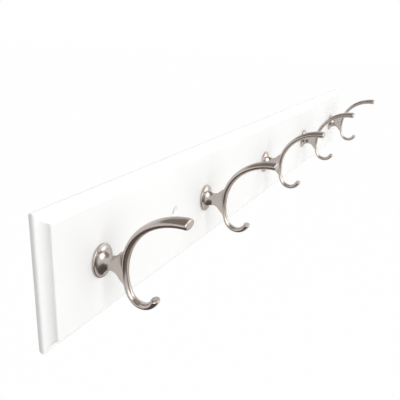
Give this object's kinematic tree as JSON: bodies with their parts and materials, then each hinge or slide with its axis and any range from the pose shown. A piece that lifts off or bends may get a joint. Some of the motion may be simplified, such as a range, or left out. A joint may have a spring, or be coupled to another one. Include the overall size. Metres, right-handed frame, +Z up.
{
  "type": "wall hook rack",
  "caption": "Wall hook rack: a white board with a moulded edge carries a row of satin nickel double hooks, for hanging coats, bags and hats.",
  "frame": {"origin": "centre of the board's back face, on the wall", "axes": "+X along the board, +Y into the wall, +Z up"},
  "size_m": [0.689, 0.0761, 0.09],
  "materials": {
    "white_lacquer": "white satin lacquer on fibreboard",
    "satin_nickel": "satin nickel plate on die-cast zinc",
    "zinc_plate": "bright zinc plate"
  },
  "bodies": {
    "root": {"backboard": "white_lacquer", "hook_1": "satin_nickel", "hook_2": "satin_nickel", "hook_3": "satin_nickel", "hook_4": "satin_nickel", "hook_5": "satin_nickel", "hook_screw_1": "zinc_plate", "hook_screw_2": "zinc_plate", "hook_screw_3": "zinc_plate", "hook_screw_4": "zinc_plate", "hook_screw_5": "zinc_plate", "washer_1": "zinc_plate", "washer_2": "zinc_plate", "washer_3": "zinc_plate", "washer_4": "zinc_plate", "washer_5": "zinc_plate"}
  },
  "joints": []
}
